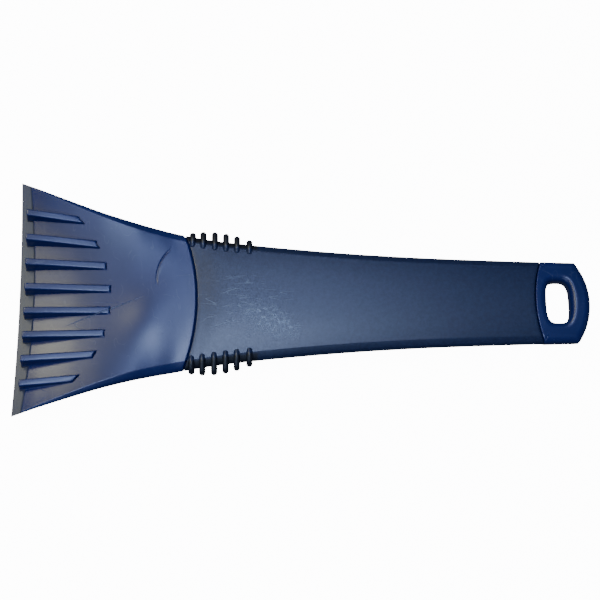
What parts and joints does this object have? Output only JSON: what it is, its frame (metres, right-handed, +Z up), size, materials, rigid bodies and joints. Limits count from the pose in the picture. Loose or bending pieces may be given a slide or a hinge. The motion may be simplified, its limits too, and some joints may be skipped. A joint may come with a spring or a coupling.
{
  "type": "windshield ice scraper",
  "caption": "Hand-held windshield ice scraper: a flared, ribbed plastic blade and hanging loop moulded as one core, with a soft overmoulded grip and finger guards.",
  "frame": {"origin": "under the middle of the scraper's box, on the plane of the grip's flat belly", "axes": "+X along the handle from the blade to the hanging loop, +Y across the blade, +Z up out of the ribbed face"},
  "size_m": [0.2792, 0.1168, 0.0205],
  "materials": {
    "blue_plastic": "Glossy dark blue moulded plastic with fine scratches.",
    "grip_rubber": "Matt dark navy soft-touch elastomer with a fine moulded grain and pale scuffs."
  },
  "bodies": {
    "root": {"blade_spine_and_loop": "blue_plastic", "soft_grip": "grip_rubber"}
  },
  "joints": []
}
